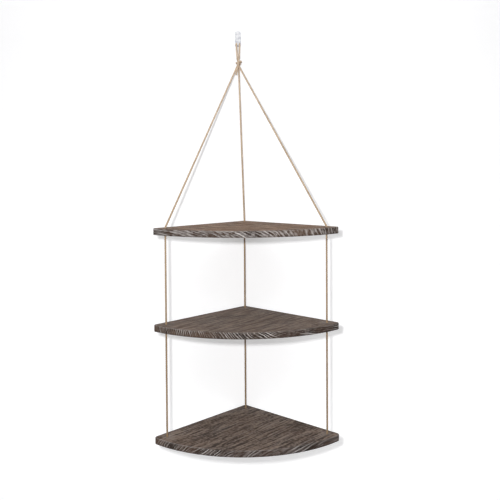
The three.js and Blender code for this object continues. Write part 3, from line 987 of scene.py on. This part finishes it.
@dataclass
class TwistedRope:
    """A rope of three strands laid round each other, with short fibres that stand off it."""

    name: str
    route: list[Vector]
    seed: int
    radius: float = 2.25 * MM
    strands: int = 3
    strand_swell: float = 1.16
    lay: float = 12.5 * MM
    step: float = 1.0 * MM
    sides: int = 8
    strand_band: float = 3.0
    fibre_band: float = 12.0
    fibre_gap: float = 2.2 * MM
    fibre_margin: int = 4
    fibre_depth: float = 0.86
    fibre_lean: tuple[float, float] = (0.5, 1.4)
    fibre_lift: tuple[float, float] = (0.15, 0.5)
    fibre_curl: tuple[float, float] = (-0.3, 0.5)
    fibre_lengths: tuple[float, float] = (0.8 * MM, 2.4 * MM)
    fibre_widths: tuple[float, float, float] = (0.11 * MM, 0.08 * MM, 0.03 * MM)
    frayed_fibres: int = 60
    frayed_spread: float = 0.8
    frayed_splay: tuple[float, float] = (0.1, 0.5)
    frayed_lengths: tuple[float, float] = (1.6 * MM, 4.2 * MM)
    frayed_root: float = 0.5 * MM
    frayed_seed: int = 7

    def __post_init__(self) -> None:
        """Starts the mesh and the layer for its unrolled coordinates."""
        self.maker = MeshMaker()
        self.unrolled = self.maker.mesh.loops.layers.uv.new("strand")

    def even_points(self) -> list[Vector]:
        """The route at even steps.

        Returns:
            The rope's centreline.
        """
        lengths = [0.0]
        for here, there in zip(self.route, self.route[1:]):
            lengths.append(lengths[-1] + (there - here).length)
        count = round(lengths[-1] / self.step)
        points, index = [], 0
        for i in range(count + 1):
            way = lengths[-1] * i / count
            while index < len(lengths) - 2 and lengths[index + 1] < way:
                index += 1
            span = max(lengths[index + 1] - lengths[index], 1e-9)
            points.append(self.route[index].lerp(self.route[index + 1], (way - lengths[index]) / span))
        return points

    @staticmethod
    def frames(points: Sequence[Vector]) -> list[tuple[Vector, Vector, Vector]]:
        """Directions along a line, carried along without twist.

        Args:
            points: The line's points.

        Returns:
            At each point the direction ahead and two across it.
        """
        frames, side = [], Vector((1.0, 0.0, 0.0))
        for i in range(len(points)):
            ahead = (points[min(i + 1, len(points) - 1)] - points[max(i - 1, 0)]).normalized()
            side = (side - ahead * side.dot(ahead)).normalized()
            frames.append((ahead, side, ahead.cross(side)))
        return frames

    def build(self, material: bpy.types.Material) -> Piece:
        """Builds the rope's mesh.

        Args:
            material: The rope's material.

        Returns:
            The rope's object.
        """
        points = self.even_points()
        frames = self.frames(points)
        thread = self.radius / (1 + 2 / math.sqrt(3)) * self.strand_swell
        orbit = self.radius - thread
        for strand in range(self.strands):
            centres = []
            for i, (spot, (_, side, up)) in enumerate(zip(points, frames)):
                angle = 2 * math.pi * (strand / self.strands + i * self.step / self.lay)
                centres.append(spot + spoke(side, up, angle) * orbit)
            self._thread(centres, thread, strand)
        self._fibres(points, frames)
        self._frayed_end(points[0], frames[0], -1)
        self._frayed_end(points[-1], frames[-1], 1)
        LOG.info("%s: %.0f mm of rope", self.name, 1000 * self.step * (len(points) - 1))
        return self.maker.finish(self.name, material, crease=math.radians(80))

    def _thread(self, centres: list[Vector], radius: float, strand: int) -> None:
        """Adds one strand as a closed tube with its own unrolled coordinates.

        Args:
            centres: The strand's centreline.
            radius: The strand's radius.
            strand: The strand's number.
        """
        rings = [
            self.maker.ring(circle(spot, side, up, radius, self.sides))
            for spot, (_, side, up) in zip(centres, self.frames(centres))]
        for number, face in enumerate(self.maker.sleeve(rings)):
            i, k = divmod(number, self.sides)
            corners = ((i, k), (i, k + 1), (i + 1, k + 1), (i + 1, k))
            for loop, (along, turn) in zip(face.loops, corners):
                loop[self.unrolled].uv = (along * self.step, strand * self.strand_band + turn / self.sides)
        self.maker.caps(rings)

    def _fibres(self, points: list[Vector], frames: list[tuple[Vector, Vector, Vector]]) -> None:
        """Adds fine fibres that have worked loose from the strands.

        Args:
            points: The rope's centreline.
            frames: The rope's directions at each point.
        """
        dice = random.Random(self.seed)
        for _ in range(int(self.step * len(points) / self.fibre_gap)):
            index = dice.randrange(self.fibre_margin, len(points) - self.fibre_margin)
            ahead, side, up = frames[index]
            out = spoke(side, up, dice.uniform(0, 2 * math.pi))
            root = points[index] + out * self.radius * self.fibre_depth
            lean = ahead * dice.choice((-1, 1)) * dice.uniform(*self.fibre_lean)
            lean += out * dice.uniform(*self.fibre_lift)
            self._fibre(root, lean.normalized(), out, dice.uniform(*self.fibre_lengths), dice)

    def _frayed_end(self, end: Vector, turn: tuple[Vector, Vector, Vector], way: int) -> None:
        """Adds a small brush of fibres at a cut end.

        Args:
            end: The rope's end.
            turn: The rope's directions there.
            way: 1 where the rope ends ahead, -1 where it ends behind.
        """
        dice = random.Random(self.seed + self.frayed_seed)
        ahead, side, up = turn
        for _ in range(self.frayed_fibres):
            out = spoke(side, up, dice.uniform(0, 2 * math.pi))
            reach = math.sqrt(dice.random())
            root = end + out * self.radius * self.frayed_spread * reach - ahead * way * self.frayed_root
            lean = (ahead * way + out * reach * dice.uniform(*self.frayed_splay)).normalized()
            self._fibre(root, lean, out, dice.uniform(*self.frayed_lengths), dice)

    def _fibre(self, root: Vector, lean: Vector, out: Vector, length: float, dice: random.Random) -> None:
        """Adds one tapering fibre of three sides.

        Args:
            root: Where it leaves the rope.
            lean: Its direction there.
            out: The direction that it bends towards.
            length: Its length.
            dice: The source of its curl.
        """
        curl = dice.uniform(*self.fibre_curl)
        across = lean.cross(out)
        across = across.normalized() if across.length > 1e-6 else Vector((1.0, 0.0, 0.0))
        third = lean.cross(across)
        rings = []
        for share, width in zip((0.0, 0.5, 1.0), self.fibre_widths):
            spot = root + lean * length * share + out * curl * length * share * share
            rings.append(self.maker.ring(circle(spot, across, third, width, 3)))
        seat = dice.random()
        for face in self.maker.sleeve(rings) + self.maker.caps(rings):
            for loop in face.loops:
                loop[self.unrolled].uv = (seat, self.fibre_band + seat)


@dataclass
class RopeWork:
    """The two ropes: the loop over the hook, the knots, and the runs down to each board."""

    boards: dict[Tier, QuarterBoard]
    radius: float = 2 * MM
    bend_radius: float = 8 * MM
    end_gap: float = 0.3 * MM
    knot_seat_gap: float = 0.3 * MM
    knot_half_share: float = 1.2
    knot_steps: int = 120
    tail: float = 3 * MM
    mouth_rise: float = 1 * MM
    bight: Vector = Vector((0.0, -8 * MM, -11.05 * MM))
    lean: float = math.radians(21)
    loop_radius: float = 4.15 * MM
    leg_length: float = 42 * MM
    twist_length: float = 10.5 * MM
    twist_steps: int = 30
    bight_steps: int = 40
    bend_steps: int = 10
    strand_offset: float = 2.2 * MM
    core_length: float = 8 * MM
    sway_gap: float = 0.4 * MM
    sway_above: float = 1.5 * MM
    sway_below: float = 2.5 * MM
    wrap_gap: float = 0.6 * MM
    wrap_tilt: float = 2 * MM
    wrap_start: float = 0.04
    wrap_end: float = 1.0
    crossing_turns: float = 0.51
    crossing_start: float = 0.1
    crossing_drop: float = 9 * MM
    tail_drop: float = 26 * MM
    tail_drift: float = 5 * MM
    tail_bend_power: float = 1.5

    @property
    def knot_start(self) -> float:
        """How far down the loop the gathering knot starts."""
        return self.leg_length + self.twist_length

    def loop_place(self, side: float, out: float, fall: float) -> Vector:
        """A place near the loop, in the loop's own leaning plane.

        Args:
            side: How far it lies to the right.
            out: How far it lies out from the plane, towards the room.
            fall: How far it lies down the plane.

        Returns:
            The place.
        """
        down = Vector((0.0, -math.sin(self.lean), -math.cos(self.lean)))
        away = Vector((0.0, -math.cos(self.lean), math.sin(self.lean)))
        return self.bight + Vector((side, 0.0, 0.0)) + down * fall + away * out

    def strand_place(self, front: bool, turn: float, fall: float) -> Vector:
        """Where one of the two strands is, once the pair has turned by an angle."""
        reach = self.strand_offset if front else -self.strand_offset
        return self.loop_place(reach * math.sin(turn), reach * math.cos(turn), fall)

    def knot_middle(self, side: Side, tier: Tier) -> Vector:
        """Middle of a knot in its pocket under a board.

        Args:
            side: The rope that it is tied in.
            tier: The board above it.

        Returns:
            The place.
        """
        board = self.boards[tier]
        drop = board.thickness - board.pocket_depth + self.knot_seat_gap
        drop += self.radius + 2 * self.radius * self.knot_half_share
        return Vector((*board.hole(side), board.top - drop))

    def overhand(self, side: Side, tier: Tier) -> list[Vector]:
        """An overhand knot from its upper to its lower end, with short straight ends.

        Args:
            side: The rope that it is tied in.
            tier: The board above it.

        Returns:
            The knot's centreline.
        """
        side_shares = (0.26, -0.22, -0.86, -0.38)
        depth_shares = (0.0, 0.09, 0.75, 0.47)
        height_shares = (0.0, 1.25, 0.51, 0.13)
        spin = Matrix.Rotation({Side.LEFT: 0.0, Side.RIGHT: math.pi, Side.BACK: math.pi / 2}[side], 3, "Z")
        middle, size = self.knot_middle(side, tier), 2 * self.radius
        points = []
        for i in range(self.knot_steps + 1):
            way = 2 * i / self.knot_steps - 1
            turn = math.pi * way
            height = sum(share * math.sin(n * turn) for n, share in enumerate(height_shares))
            points.append(middle + spin @ (size * Vector((
                sum(share * math.cos(n * turn) for n, share in enumerate(side_shares)),
                sum(share * math.sin(n * turn) for n, share in enumerate(depth_shares)),
                height - self.knot_half_share * way))))
        end = size if tier is not Tier.BOTTOM else size + self.tail
        return [points[0] + Vector((0, 0, size)), *points, points[-1] - Vector((0, 0, end))]

    def rounded(self, corners: Sequence[Vector]) -> list[Vector]:
        """A route past corners, each rounded to the rope's bend.

        Args:
            corners: The ends and corners of the route.

        Returns:
            The route's points.
        """
        points = [corners[0]]
        for before, corner, after in zip(corners, corners[1:], corners[2:]):
            into, out = (corner - before).normalized(), (after - corner).normalized()
            turn = into.angle(out)
            inward = (out - into * into.dot(out)).normalized()
            start = corner - into * self.bend_radius * math.tan(turn / 2)
            for k in range(self.bend_steps + 1):
                angle = turn * k / self.bend_steps
                shift = into * math.sin(angle) + inward * (1 - math.cos(angle))
                points.append(start + self.bend_radius * shift)
        points.append(corners[-1])
        return points

    def below_core(self, side: Side, *starts: Vector) -> list[Vector]:
        """A rope from the gathering knot down to its tail, past all three boards and their knots.

        Args:
            side: The rope.
            starts: Where it starts in the gathering knot, and where it parts from the other strand.

        Returns:
            The route's points.
        """
        hole = self.boards[Tier.TOP].hole(side)
        mouth = Vector((*hole, self.boards[Tier.TOP].top + self.mouth_rise))
        knots = [self.overhand(side, tier) for tier in Tier]
        return [*self.rounded([*starts, mouth, knots[0][0]]), *(spot for knot in knots for spot in knot)]

    def twist(self, front: bool) -> list[Vector]:
        """One strand's turn towards the front or rear, going down.

        Args:
            front: Whether the strand ends in front.

        Returns:
            Points along the strand.
        """
        shares = [i / self.twist_steps for i in range(self.twist_steps + 1)]
        return [
            self.strand_place(
                front, math.pi / 2 * (1 - gently(share)), self.leg_length + share * self.twist_length)
            for share in shares]

    def main_rope(self) -> list[Vector]:
        """The long rope: up the left side, over the hook and down the right side.

        Returns:
            Its route.
        """
        ends = {}
        for side, front in ((Side.LEFT, True), (Side.RIGHT, False)):
            start = self.knot_start + self.sway_gap
            core = self.strand_place(front, 0.0, start)
            ends[side] = self.below_core(side, core, self.strand_place(front, 0.0, start + self.core_length))
        angles = [math.pi * i / self.bight_steps for i in range(self.bight_steps + 1)]
        bight = [
            self.loop_place(self.loop_radius * math.cos(a), 0.0, self.loop_radius * (1 - math.sin(a)))
            for a in angles]
        return [*reversed(ends[Side.LEFT]), *reversed(self.twist(True)), *bight, *self.twist(False),
                *ends[Side.RIGHT]]

    def wrap_place(self, turns: float, fall: float, lift: float = 0.0) -> Vector:
        """A place on the winding, whose plan is a ring drawn out to pass both strands.

        Args:
            turns: How many turns it lies from the back.
            fall: How far it lies down the loop's plane.
            lift: How far it stands off the winding.

        Returns:
            The place.
        """
        angle = 2 * math.pi * turns - math.pi / 2
        reach = 2 * self.radius + self.wrap_gap + lift
        pull = self.strand_offset * max(-1.0, min(1.0, 2 * math.sin(angle)))
        out = reach * math.sin(angle) + pull
        return self.loop_place(reach * math.cos(angle), out, fall + self.wrap_tilt * math.sin(angle))

    def gathering_knot(self, rise: int = 4, wrap: int = 20, crossing: int = 12) -> list[Vector]:
        """The back rope's upper end: up behind, round the strands, over its own turn and down.

        Args:
            rise: How many points the bend into the winding has.
            wrap: How many the winding has.
            crossing: How many pieces the crossing is cut into.

        Returns:
            The knot's centreline.
        """
        pitch = 2 * self.radius + self.wrap_gap
        low = self.knot_start + self.sway_gap + self.radius
        low += (self.wrap_end + self.crossing_turns / 2) * pitch
        bend_turns = pitch / (2 * math.pi * pitch + 4 * self.strand_offset)
        points = []
        for angle in (math.pi / 2 * i / rise for i in range(rise)):
            turns = self.wrap_start + bend_turns * (1 - math.cos(angle))
            points.append(self.wrap_place(turns, low - turns * pitch + pitch * (1 - math.sin(angle))))
        points.insert(0, points[0] - Vector((0, 0, 2 * self.radius)))
        start = self.wrap_start + bend_turns
        for turns in (start + (self.wrap_end - start) * i / wrap for i in range(wrap)):
            points.append(self.wrap_place(turns, low - turns * pitch))
        for angle in (math.pi / 2 * i / crossing for i in range(crossing + 1)):
            turns = self.wrap_end + self.crossing_turns * math.sin(angle)
            lift = pitch * gently(way_between(math.sin(angle), self.crossing_start, 1.0))
            fall = low - turns * pitch + self.crossing_drop * (1 - math.cos(angle)) ** 2
            points.append(self.wrap_place(turns, fall, lift))
        hang = points[-1]
        for share in (0.2, 0.4, 0.6, 0.8, 1.0):
            drift = self.tail_drift * share ** self.tail_bend_power
            points.append(hang + Vector((-drift, 0.0, -self.tail_drop * share)))
        return smooth_through(points, pieces=8)

    def back_rope(self) -> list[Vector]:
        """The back rope, from its tail in the gathering knot down to the bottom board."""
        knot = self.gathering_knot()
        return [*reversed(knot), *self.below_core(Side.BACK, knot[0] - Vector((0, 0, self.end_gap)))]

    def build(self, effects: SharedEffects) -> list[Piece]:
        """Builds both ropes: the long one stays where it is built, and the back one moves with the hanger.

        Args:
            effects: The shared node groups.

        Returns:
            The ropes' objects.
        """
        jute = SpunJute().make(effects)
        runs = [f"{run}_rope" for run in ("upper", "middle", "lower")]
        runs += [f"{tier.value}_knot" for tier in Tier]
        main_rope = TwistedRope("side_rope", self.main_rope(), seed=3).build(jute)
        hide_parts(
            "hanging_loop", *(f"{side}_{run}" for side in ("left", "right") for run in runs))
        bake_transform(main_rope)
        back_rope = TwistedRope("back_rope", self.back_rope(), seed=5).build(jute)
        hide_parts("gathering_knot", *(f"back_{run}" for run in runs))
        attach(back_rope, "hanger")
        return [main_rope, back_rope]


@dataclass
class WallHook:
    """A small clear hook on a foam pad: a rounded plate, and an arm that turns up at its tip."""

    pad: float = 1 * MM
    plate_width: float = 16 * MM
    plate_height: float = 40 * MM
    plate_thickness: float = 3 * MM
    foot_radius: float = 5 * MM
    ease: float = 0.8 * MM
    head_steps: int = 32
    foot_steps: int = 12
    arm_sides: int = 28
    arm_roundness: float = 0.8

    def outline(self) -> Outline:
        """The plate's edge as seen from the room.

        Returns:
            Its points, each with its outward direction.
        """
        half, top, foot = self.plate_width / 2, self.plate_height / 2, self.foot_radius
        path = arc(Vector((0, top - half)), half, 0.0, math.pi, self.head_steps)
        path += arc(Vector((foot - half, foot - top)), foot, math.pi, 1.5 * math.pi, self.foot_steps)
        path += arc(Vector((half - foot, foot - top)), foot, -0.5 * math.pi, 0.0, self.foot_steps)
        return path

    def plate(self) -> MeshMaker:
        """The plate, with rounded edges.

        Returns:
            Its mesh.
        """
        maker, rings = MeshMaker(), []
        first, last = eased_edges(self.ease, -self.pad, -self.pad - self.plate_thickness)
        for inset, depth, _ in first + last:
            flat = [spot - out * inset for spot, out in self.outline()]
            rings.append(maker.ring([Vector((spot.x, depth, spot.y)) for spot in flat]))
        maker.sleeve(rings)
        maker.lid([rings[0]])
        maker.lid([rings[-1]])
        return maker

    def arm_sections(self) -> list[tuple[Vector, Vector, float]]:
        """The arm's sections, from the plate out to the tip.

        Returns:
            Each section's inner side, outer side and half width.
        """
        table = (
            (2.6, -12.4, 2.6, -20.9, 2.9), (4.1, -12.9, 4.1, -20.4, 2.3), (5.4, -13.4, 5.4, -19.9, 1.8),
            (9.0, -13.4, 9.0, -19.9, 1.7), (12.6, -13.4, 12.0, -19.9, 1.6), (13.6, -13.2, 14.6, -19.6, 1.6),
            (14.15, -12.6, 16.4, -18.0, 1.85), (14.25, -11.6, 17.0, -15.6, 2.45),
            (14.4, -10.4, 17.2, -12.9, 2.9), (14.6, -9.0, 17.4, -10.4, 3.0), (14.8, -7.8, 17.5, -8.4, 2.75),
            (15.2, -6.9, 17.2, -7.2, 2.1), (15.8, -6.45, 16.6, -6.55, 1.0))
        return [
            (Vector((0, -inner, top)) * MM, Vector((0, -outer, low)) * MM, half * MM)
            for inner, top, outer, low, half in table]

    def arm(self) -> MeshMaker:
        """The arm and its turned-up tip as one rounded form.

        Returns:
            Its mesh.
        """
        maker, rings = MeshMaker(), []
        for inner, outer, half in self.arm_sections():
            ring = []
            for angle in (2 * math.pi * k / self.arm_sides for k in range(self.arm_sides)):
                wide, tall = (
                    math.copysign(abs(share) ** self.arm_roundness, share)
                    for share in (math.cos(angle), math.sin(angle)))
                ring.append((inner + outer) / 2 + Vector((half * wide, 0, 0)) + (inner - outer) / 2 * tall)
            rings.append(maker.ring(ring))
        maker.sleeve(rings)
        maker.caps(rings)
        return maker

    def build(self, effects: SharedEffects) -> list[Piece]:
        """Builds the hook and dresses the pad.

        Args:
            effects: The shared node groups.

        Returns:
            The hook's object.
        """
        plastic = ClearPlastic().make(effects)
        hook = self.plate().finish("clear_hook", plastic)
        tip = self.arm().finish("hook_arm", plastic, crease=math.radians(60))
        tip.modifiers.new("Round", "SUBSURF").levels = 1
        join = hook.modifiers.new("Join", "BOOLEAN")
        join.operation, join.solver, join.object = "UNION", "EXACT", tip
        bpy.context.view_layer.update()
        joined = bpy.data.meshes.new_from_object(hook.evaluated_get(bpy.context.evaluated_depsgraph_get()))
        hook.modifiers.clear()
        hook.data = joined
        bpy.data.objects.remove(tip)
        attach(hook, "wall_fixing")
        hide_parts("wall_hook")
        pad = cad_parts["adhesive_pad"]
        pad.data.materials.clear()
        pad.data.materials.append(PadFoam().make(effects))
        return [hook]


@dataclass
class Studio:
    """The pale wall and floor, the soft lamps and the camera."""

    wall_width: float = 6.0
    wall_gap: float = 0.1 * MM
    floor_drop: float = 1.5
    floor_depth: float = 6.0
    camera_place: Vector = Vector((-24.8 * MM, -1804.7 * MM, -326.8 * MM))
    pitch: float = math.radians(1.59)
    yaw: float = math.radians(1.685)
    roll: float = math.radians(-0.354)
    film_width: float = 36.0
    lens: float = 51.06
    shift: float = -0.124
    key_shift: Vector = Vector((-0.085, 0.02, 0.07))
    key_size: float = 0.05
    key_power: float = 19.5
    sky_place: Vector = Vector((-0.05, -0.95, 0.6))
    sky_size: float = 1.1
    sky_power: float = 6.5
    surroundings: float = 0.24
    high_glow: float = 0.22
    low_glow: float = 0.43
    low_height: float = -1.1
    far_glow: float = 0.08
    far_reach: tuple[float, float] = (-0.1, 0.4)

    def camera(self) -> None:
        """Sets up the camera at the photograph's viewing angle."""
        cp, sp = math.cos(self.pitch), math.sin(self.pitch)
        cy, sy = math.cos(self.yaw), math.sin(self.yaw)
        cr, sr = math.cos(self.roll), math.sin(self.roll)
        ahead = Vector((sy * cp, cy * cp, -sp))
        right = Vector((cy, -sy, 0))
        up = right.cross(ahead)
        right, up = right * cr + up * sr, up * cr - right * sr
        data = bpy.data.cameras.new("Camera")
        data.sensor_width, data.lens, data.shift_y = self.film_width, self.lens, self.shift
        camera = bpy.data.objects.new("Camera", data)
        turn = Matrix((right, up, -ahead)).transposed().to_4x4()
        camera.matrix_world = Matrix.Translation(self.camera_place) @ turn
        bpy.context.collection.objects.link(camera)
        bpy.context.scene.camera = camera

    @staticmethod
    def _seen(sheet: NodeSheet) -> Socket:
        """Marks with a 1 what the camera sees straight, in a gloss or through clear plastic.

        Args:
            sheet: The sheet of the backdrop or the world.

        Returns:
            1 for such rays and 0 for others.
        """
        path = sheet.add("ShaderNodeLightPath").outputs
        clear = sheet.math("MAXIMUM", path["Is Transmission Ray"], path["Is Glossy Ray"])
        return sheet.math("MAXIMUM", path["Is Camera Ray"], clear)

    def _backdrop(self, name: str) -> bpy.types.Material:
        """A white matt surface that the camera sees as white and that can't be seen from behind.

        Args:
            name: The material's name.

        Returns:
            The finished material.
        """
        material, sheet = Finish(name).start()
        shader = sheet.add("ShaderNodeBsdfPrincipled", {
            "Base Color": screen_colour(226, 226, 227), "Roughness": 1.0, "Specular IOR Level": 0.0})
        place = sheet.coordinates(sheet.place())
        down = sheet.span(place["Z"], self.low_glow, self.high_glow, self.low_height, 0.0)
        across = sheet.span(place["X"], 0.0, self.far_glow, *self.far_reach)
        glow = sheet.product(self._seen(sheet), sheet.math("ADD", down, across))
        light = sheet.add("ShaderNodeEmission", {"Strength": glow})
        both = sheet.add("ShaderNodeAddShader", {0: shader.outputs[0], 1: light.outputs[0]})
        behind = sheet.add("ShaderNodeNewGeometry").outputs["Backfacing"]
        clear = sheet.add("ShaderNodeBsdfTransparent")
        final = sheet.add("ShaderNodeMixShader", {0: behind, 1: both.outputs[0], 2: clear.outputs[0]})
        sheet.add("ShaderNodeOutputMaterial", {"Surface": final.outputs[0]})
        return material

    def backdrop(self) -> None:
        """Builds the wall and the floor."""
        half, floor, front, back = self.wall_width / 2, -self.floor_drop, -self.floor_depth, self.wall_gap
        wall = [(-half, back, floor), (half, back, floor), (half, back, half), (-half, back, half)]
        ground = [(-half, front, floor), (half, front, floor), (half, 0, floor), (-half, 0, floor)]
        for name, corners, facing in (
                ("backdrop_wall", wall, (0, -1, 0)), ("backdrop_floor", ground, (0, 0, 1))):
            maker = MeshMaker()
            maker.mesh.faces.new(maker.ring(corners))
            stage = maker.finish(name, self._backdrop(name))
            if stage.data.polygons[0].normal.dot(Vector(facing)) < 0:
                stage.data.flip_normals()

    def lamp(self, name: str, place: Vector, aim: Vector, size: float, power: float) -> None:
        """Adds one square soft lamp.

        Args:
            name: The lamp's name.
            place: Where it stands.
            aim: What it points at.
            size: Its width.
            power: Its power in watts.
        """
        data = bpy.data.lights.new(name, "AREA")
        data.shape, data.size, data.energy = "SQUARE", size, power
        lamp = bpy.data.objects.new(name, data)
        lamp.location = place
        lamp.rotation_euler = (aim - place).to_track_quat("-Z", "Y").to_euler()
        bpy.context.collection.objects.link(lamp)

    def light(self) -> None:
        """Sets up the lamps and the pale surroundings."""
        key_aim, sky_aim = Vector((0.0, -0.1, -0.5)), Vector((0.0, -0.15, -0.5))
        self.lamp("key_lamp", self.camera_place + self.key_shift, key_aim, self.key_size, self.key_power)
        self.lamp("sky_lamp", self.sky_place, sky_aim, self.sky_size, self.sky_power)
        world = bpy.data.worlds.new("Studio")
        bpy.context.scene.world = world
        world.use_nodes = True
        sheet = NodeSheet(world.node_tree)
        strength = sheet.span(self._seen(sheet), self.surroundings, 1.0)
        glow = sheet.add("ShaderNodeBackground", {"Color": (1.0, 1.0, 1.0, 1.0), "Strength": strength})
        sheet.add("ShaderNodeOutputWorld", {"Surface": glow.outputs[0]})
        bpy.context.scene.view_settings.view_transform = "Standard"

    def build(self) -> None:
        """Sets up the whole studio."""
        self.camera()
        self.backdrop()
        self.light()


def main() -> None:
    """Builds the surroundings, then the shelf's sub-assemblies."""
    logging.basicConfig(level=logging.INFO, format="%(name)s: %(message)s")
    Studio().build()
    # The face tones fall from the top board to the bottom one: partly each board's own shade, partly painted
    # light, lighter where more light falls from above
    woods = {
        Tier.TOP: ScorchedWood(
            "Top Board Wood", math.pi / 4, (1.48, -0.421, -0.72), -6.5 * MM, tone=1.38, scorch=0.7,
            gap_growth=0.035, warmth=1.5, pallor=1.0, stroke_share=0.3, speckle=0.15, softness=0.46),
        Tier.MIDDLE: ScorchedWood(
            "Middle Board Wood", -math.pi / 4, (1.11, -0.34, -0.583), 4 * MM, tone=1.25, scorch=0.9,
            pallor=0.24, end_lines=0.85, end_brown=0.4),
        Tier.BOTTOM: ScorchedWood(
            "Bottom Board Wood", -math.pi / 4, (1.48, -0.555, -1.284), 5.5 * MM, tone=1.07, scorch=0.97,
            line_share=0.85, stroke_share=0.6, speckle=0.5, softness=0.4, face_lines=0.35, end_lines=0.9,
            end_brown=0.4, side_lines=0.4),
    }
    boards = {tier: QuarterBoard(tier, wood) for tier, wood in woods.items()}
    effects = SharedEffects()
    for assembly in (WallHook(), *boards.values(), RopeWork(boards)):
        for piece in assembly.build(effects):
            LOG.info("%s built", piece.name)
    LOG.info("boxes written")


if __name__ == "__main__":
    main()
